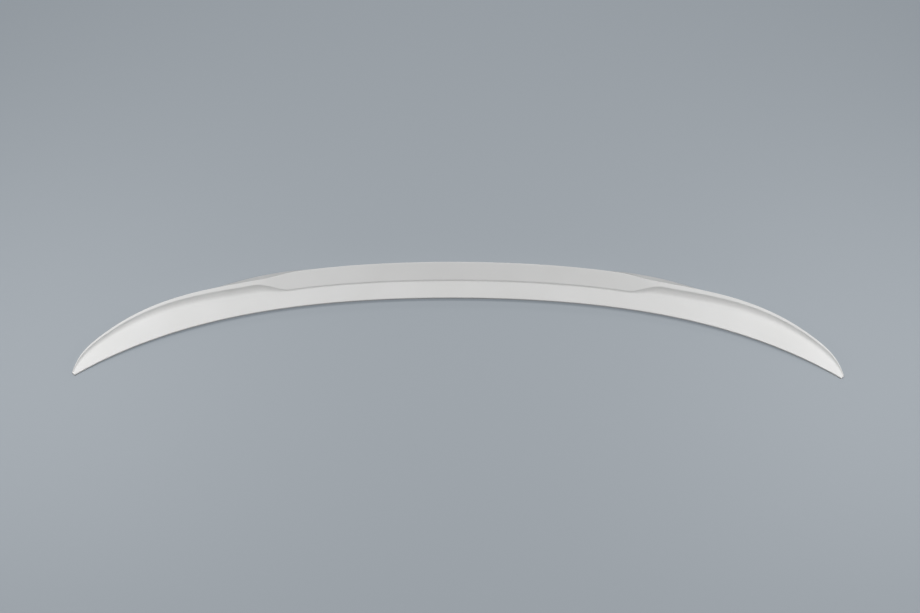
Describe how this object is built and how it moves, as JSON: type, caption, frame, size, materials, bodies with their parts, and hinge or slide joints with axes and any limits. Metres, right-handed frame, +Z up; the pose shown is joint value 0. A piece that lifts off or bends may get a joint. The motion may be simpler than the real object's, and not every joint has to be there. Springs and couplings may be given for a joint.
{
  "type": "car rear spoiler",
  "caption": "Crescent-shaped boot-lid lip spoiler with a raised middle blade, dipped shoulders and narrow side lips that wrap round to pointed ends, open and hollow below.",
  "frame": {"origin": "under the middle of the bounding box, on the surface that the part lies on", "axes": "+X across the car along the span, +Y towards the rear of the car, +Z up"},
  "size_m": [1.2462, 0.2232, 0.0332],
  "materials": {
    "moulding": "satin white, as moulded and unpainted"
  },
  "bodies": {
    "root": {"spoiler": "moulding"}
  },
  "joints": []
}
